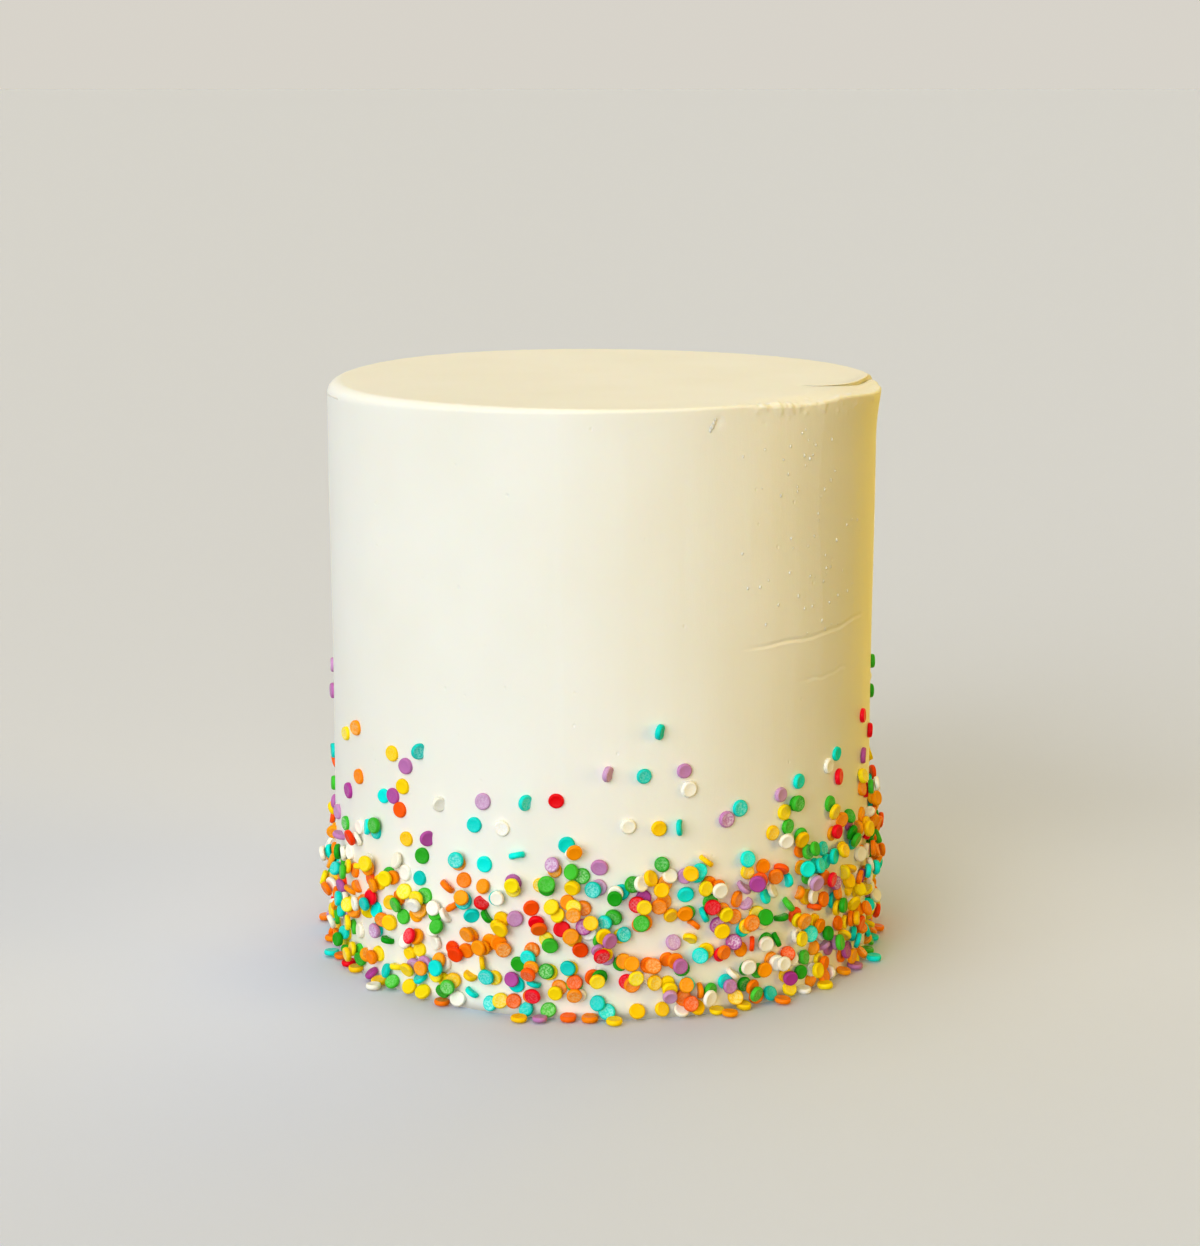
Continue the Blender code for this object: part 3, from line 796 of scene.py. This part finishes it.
def confetti(colour, discs):
    """All the discs of one colour as one mesh, each with its own tone and its own bloom."""
    rng = np.random.default_rng(len(colour) + SEED)
    shape = disc_faces()
    points = []
    faces = []
    tones = []
    blooms = []
    for disc in discs:
        spots = disc_points(disc, rng)
        start = len(points) * len(spots)
        faces += [tuple(corner + start for corner in face) for face in shape]
        tones += [rng.uniform(0.0, 1.0)] * len(spots)
        blooms += [rng.uniform(0.0, 1.0) ** 1.7] * len(spots)
        points.append(spots)
    piece = mesh_piece(f"confetti_{colour}", np.concatenate(points), faces)
    for name, values in (("tone", tones), ("bloom", blooms), ("face", disc_face_shares() * len(discs))):
        piece.data.attributes.new(name, "FLOAT", "POINT").data.foreach_set("value", values)
    return piece


def linear(colour):
    """An sRGB hex colour as the linear one that the shaders take."""
    shares = [int(colour[i:i + 2], 16) / 255 for i in (1, 3, 5)]
    return (*[s / 12.92 if s <= 0.04045 else ((s + 0.055) / 1.055) ** 2.4 for s in shares], 1.0)


def add(tree, kind, links=None, **settings):
    """Adds a node, sets its properties and its sockets, and links the sockets named in links."""
    node = tree.nodes.new(kind)
    for name, value in settings.items():
        if hasattr(node, name):
            setattr(node, name, value)
        else:
            node.inputs[name.replace("_", " ")].default_value = value
    for socket, source in (links or {}).items():
        tree.links.new(source, node.inputs[socket])
    return node


def new_material(name):
    material = bpy.data.materials.new(name)
    material.use_nodes = True
    return material, material.node_tree, material.node_tree.nodes["Principled BSDF"]


def set_ramp(node, stops):
    elements = node.color_ramp.elements
    while len(elements) > 1:
        elements.remove(elements[-1])
    elements[0].position, elements[0].color = stops[0]
    for place, colour in stops[1:]:
        elements.new(place).color = colour
    return node


def per_mm(size):
    """A noise scale, in turns per metre, for features about this many millimetres across."""
    return 1.0 / (size * METRES)


def buttercream_icing():
    """Butter and sugar beaten and smoothed with a scraper: soft, satiny, pale through its top millimetre."""
    material, tree, shader = new_material("ivory_buttercream")
    place = add(tree, "ShaderNodeNewGeometry").outputs["Position"]
    stretched = add(tree, "ShaderNodeMapping", {"Vector": place}, Scale=(1.0, 1.0, 0.12)).outputs[0]
    patches = add(tree, "ShaderNodeTexNoise", {"Vector": place}, Scale=per_mm(55.0), Detail=2.0)
    drawn = add(tree, "ShaderNodeTexNoise", {"Vector": stretched}, Scale=per_mm(2.2), Detail=3.0)
    tint = set_ramp(add(tree, "ShaderNodeValToRGB", {"Fac": patches.outputs["Fac"]}),
                    [(0.3, linear("#F1EEE1")), (0.7, linear("#F5F3E9"))])
    tree.links.new(tint.outputs["Color"], shader.inputs["Base Color"])

    upright = add(tree, "ShaderNodeMapping", {"Vector": place}, Scale=(1.0, 1.0, 0.75)).outputs[0]
    bubbles = add(tree, "ShaderNodeTexVoronoi", {"Vector": upright}, Scale=per_mm(7.0), Randomness=1.0)
    hollows = set_ramp(add(tree, "ShaderNodeValToRGB", {"Fac": bubbles.outputs["Distance"]}),
                       [(0.03, (1.0, 1.0, 1.0, 1.0)), (0.085, (0.0, 0.0, 0.0, 1.0))])
    drawn_cell = add(tree, "ShaderNodeSeparateColor", {"Color": bubbles.outputs["Color"]}).outputs["Red"]
    open_cell = add(tree, "ShaderNodeMath", {0: drawn_cell}, operation="GREATER_THAN")
    open_cell.inputs[1].default_value = 0.4
    pits = add(tree, "ShaderNodeMath", {0: hollows.outputs["Color"], 1: open_cell.outputs[0]},
               operation="MULTIPLY")
    grain = add(tree, "ShaderNodeTexNoise", {"Vector": place}, Scale=per_mm(0.5), Detail=2.0)
    rough = add(tree, "ShaderNodeMapRange", {"Value": drawn.outputs["Fac"]})
    rough.inputs["To Min"].default_value = 0.34
    rough.inputs["To Max"].default_value = 0.5
    tree.links.new(rough.outputs["Result"], shader.inputs["Roughness"])

    fine = add(tree, "ShaderNodeBump", {"Height": grain.outputs["Fac"]}, Strength=0.12, Distance=0.00012)
    streaks = add(tree, "ShaderNodeBump", {"Height": drawn.outputs["Fac"], "Normal": fine.outputs["Normal"]},
                  Strength=0.25, Distance=0.00018)
    pitted = add(tree, "ShaderNodeBump", {"Height": pits.outputs[0], "Normal": streaks.outputs["Normal"]},
                 Strength=0.4, Distance=0.0003, invert=True)
    tree.links.new(pitted.outputs["Normal"], shader.inputs["Normal"])
    shader.inputs["IOR"].default_value = 1.45
    shader.inputs["Specular IOR Level"].default_value = 0.4
    shader.inputs["Subsurface Weight"].default_value = 0.25
    shader.inputs["Subsurface Radius"].default_value = (1.0, 0.75, 0.45)
    shader.inputs["Subsurface Scale"].default_value = 0.002
    return material


# Sugar colours: the deepest and the palest disc of each kind, and the dusty bloom on its faces
SUGAR_COLOURS = {
    "yellow": ("#FFCC00", "#FFEA10", "#FFF5AC"),
    "orange": ("#FF8200", "#FFAE06", "#FFD498"),
    "white": ("#F6F0DC", "#FDFAEE", "#FFFFFF"),
    "green": ("#06A012", "#58D440", "#C2F0BA"),
    "turquoise": ("#00CEC2", "#04F4E8", "#B8F6EE"),
    "purple": ("#B6409E", "#D4AFD2", "#F0E6F0"),
    "coral": ("#FF4600", "#FF7412", "#FFB696"),
    "red": ("#E60006", "#FF1236", "#FC9CA4"),
}

# Sugar crystals are 0.2 mm across, too fine to show, so they are drawn this coarse
SHOWN_GRAIN = 0.6


def pressed_sugar(colour):
    """Coloured sugar pressed into tablets: waxy and a little see-through, with a grainy pale bloom."""
    deep, pale, dust = SUGAR_COLOURS[colour]
    material, tree, shader = new_material(f"pressed_sugar_{colour}")
    place = add(tree, "ShaderNodeNewGeometry").outputs["Position"]
    tone, bloom, face = (add(tree, "ShaderNodeAttribute", attribute_name=name).outputs["Fac"]
                         for name in ("tone", "bloom", "face"))
    body = set_ramp(add(tree, "ShaderNodeValToRGB", {"Fac": tone}),
                    [(0.0, linear(deep)), (1.0, linear(pale))])
    grains = add(tree, "ShaderNodeTexNoise", {"Vector": place},
                 Scale=per_mm(SHOWN_GRAIN), Detail=2.0, Roughness=0.6)
    grainy = add(tree, "ShaderNodeMapRange", {"Value": grains.outputs["Fac"]},
                 From_Min=0.42, From_Max=0.6, To_Min=0.15, To_Max=1.0)
    dustiest = add(tree, "ShaderNodeMapRange", {"Value": bloom},
                   From_Min=0.1, From_Max=1.0, To_Min=0.0, To_Max=0.75)
    worn = add(tree, "ShaderNodeMath", {0: dustiest.outputs["Result"], 1: face}, operation="MULTIPLY")
    dusty = add(tree, "ShaderNodeMath", {0: worn.outputs[0], 1: grainy.outputs["Result"]},
                operation="MULTIPLY")
    mixed = add(tree, "ShaderNodeMix", data_type="RGBA")
    tree.links.new(dusty.outputs[0], mixed.inputs[0])
    tree.links.new(body.outputs["Color"], mixed.inputs[6])
    mixed.inputs[7].default_value = linear(dust)
    tree.links.new(mixed.outputs[2], shader.inputs["Base Color"])
    bumps = add(tree, "ShaderNodeBump", {"Height": grains.outputs["Fac"]}, Strength=0.4, Distance=0.00015)
    tree.links.new(bumps.outputs["Normal"], shader.inputs["Normal"])
    shader.inputs["Roughness"].default_value = 0.36
    shader.inputs["IOR"].default_value = 1.5
    shader.inputs["Specular IOR Level"].default_value = 0.16
    shader.inputs["Subsurface Weight"].default_value = 0.12
    shader.inputs["Subsurface Radius"].default_value = (1.0, 0.8, 0.6)
    shader.inputs["Subsurface Scale"].default_value = 0.0008
    return material


def pale_floor():
    """The floor takes shadows, and the room below the horizon sends back the light that it would."""
    material, tree, shader = new_material("pale_floor")
    shader.inputs["Base Color"].default_value = linear("#DEE4F6")
    shader.inputs["Roughness"].default_value = 0.7
    shader.inputs["Specular IOR Level"].default_value = 0.0
    data = bpy.data.meshes.new("floor")
    corners = [(x * FLOOR_REACH, y * FLOOR_REACH, 0.0) for x, y in ((-1, -1), (1, -1), (1, 1), (-1, 1))]
    data.from_pydata(corners, [], [(0, 1, 2, 3)])
    data.materials.append(material)
    floor = bpy.data.objects.new("floor", data)
    bpy.context.scene.collection.objects.link(floor)
    floor.visible_diffuse = False
    floor.visible_glossy = False
    floor.visible_shadow = False


def soft_sun(name, turn, rise, spread, strength, colour):
    """Even light from a wide patch of the room: turn 0 is the front, +90 the right; rise is its height."""
    light = bpy.data.lights.new(name, "SUN")
    light.angle = math.radians(spread)
    light.energy = strength
    light.color = linear(colour)[:3]
    lamp = bpy.data.objects.new(name, light)
    bpy.context.scene.collection.objects.link(lamp)
    away = on_circle(turn, math.cos(math.radians(rise)), math.sin(math.radians(rise)))
    lamp.rotation_euler = (-away).to_track_quat("-Z", "Y").to_euler()


def studio():
    """Wide pale light from the front left, in a room that is pale on the left and golden at the back right.

    Level with the horizon the room has the floor's own colour, so that no edge shows where the floor ends.
    """
    soft_sun("window_light", -45.0, 18.0, 54.0, 1.36, "#F7FCFF")
    soft_sun("front_light", -15.0, 18.0, 54.0, 1.6, "#F7FAFF")
    soft_sun("golden_light", 75.0, 10.0, 34.0, 1.2, "#FFD850")
    soft_sun("ceiling_light", -40.0, 84.0, 44.0, 0.7, "#FFF0C4")
    world = bpy.data.worlds.new("studio")
    bpy.context.scene.world = world
    world.use_nodes = True
    tree = world.node_tree
    way = add(tree, "ShaderNodeTexCoord").outputs["Generated"]
    around = add(tree, "ShaderNodeTexGradient", {"Vector": way}, gradient_type="RADIAL").outputs["Fac"]
    height = add(tree, "ShaderNodeSeparateXYZ", {"Vector": way}).outputs["Z"]

    # Round the room: 0 is the left, a quarter the front, a half the right and three quarters the back
    walls = set_ramp(add(tree, "ShaderNodeValToRGB", {"Fac": around}), [
        (0.0, linear("#696969")),
        (0.125, linear("#454545")),
        (0.25, linear("#454542")),
        (0.3, linear("#45423A")),
        (0.38, linear("#454028")),
        (0.5, linear("#454026")),
        (0.58, linear("#000000")),
        (0.66, linear("#E7C848")),
        (0.75, linear("#B6B6B6")),
        (1.0, linear("#696969")),
    ])

    # How much of the floor's colour the room takes: all at the horizon, none well above or below it
    level = add(tree, "ShaderNodeMapRange", {"Value": height}, From_Min=-1.0, From_Max=1.0)
    haze = set_ramp(add(tree, "ShaderNodeValToRGB", {"Fac": level.outputs["Result"]}), [
        (0.485, (0.0, 0.0, 0.0, 1.0)),
        (0.493, (1.0, 1.0, 1.0, 1.0)),
        (0.53, (1.0, 1.0, 1.0, 1.0)),
        (0.57, (0.0, 0.0, 0.0, 1.0)),
    ])
    room = add(tree, "ShaderNodeMix", data_type="RGBA")
    tree.links.new(haze.outputs["Color"], room.inputs[0])
    tree.links.new(walls.outputs["Color"], room.inputs[6])
    room.inputs[7].default_value = linear("#A29F99")
    tree.links.new(room.outputs[2], tree.nodes["Background"].inputs["Color"])
    tree.nodes["Background"].inputs["Strength"].default_value = 2.0
    bpy.context.scene.view_settings.view_transform = "Standard"
    bpy.context.scene.view_settings.gamma = 0.86


def camera():
    data = bpy.data.cameras.new("camera")
    data.lens = CAMERA_LENS
    data.sensor_width = 36.0
    data.shift_x = CAMERA_SHIFT
    data.clip_end = 100.0
    made = bpy.data.objects.new("camera", data)
    bpy.context.scene.collection.objects.link(made)
    made.location = (0.0, -CAMERA_AWAY * METRES, CAMERA_UP * METRES)
    made.rotation_euler = (math.radians(90.0 - CAMERA_PITCH), 0.0, 0.0)
    bpy.context.scene.camera = made


def dress(piece, material):
    """Gives a piece its material, hangs it on the root body and hides the cake's solid in its place."""
    piece.data.materials.append(material)
    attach(piece, "root")
    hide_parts(CAKE)


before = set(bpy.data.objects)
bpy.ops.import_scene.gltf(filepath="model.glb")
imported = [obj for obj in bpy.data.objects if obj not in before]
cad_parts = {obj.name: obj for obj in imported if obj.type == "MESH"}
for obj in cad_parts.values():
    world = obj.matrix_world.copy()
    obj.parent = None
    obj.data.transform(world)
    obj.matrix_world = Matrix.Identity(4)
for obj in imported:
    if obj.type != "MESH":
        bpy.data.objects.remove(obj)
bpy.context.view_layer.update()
camera()
studio()
pale_floor()
dress(buttercream(), buttercream_icing())
laid = laid_confetti()
for colour in COLOUR_SHARES:
    same = [disc for disc in laid if disc.colour == colour]
    dress(confetti(colour, same), pressed_sugar(colour))
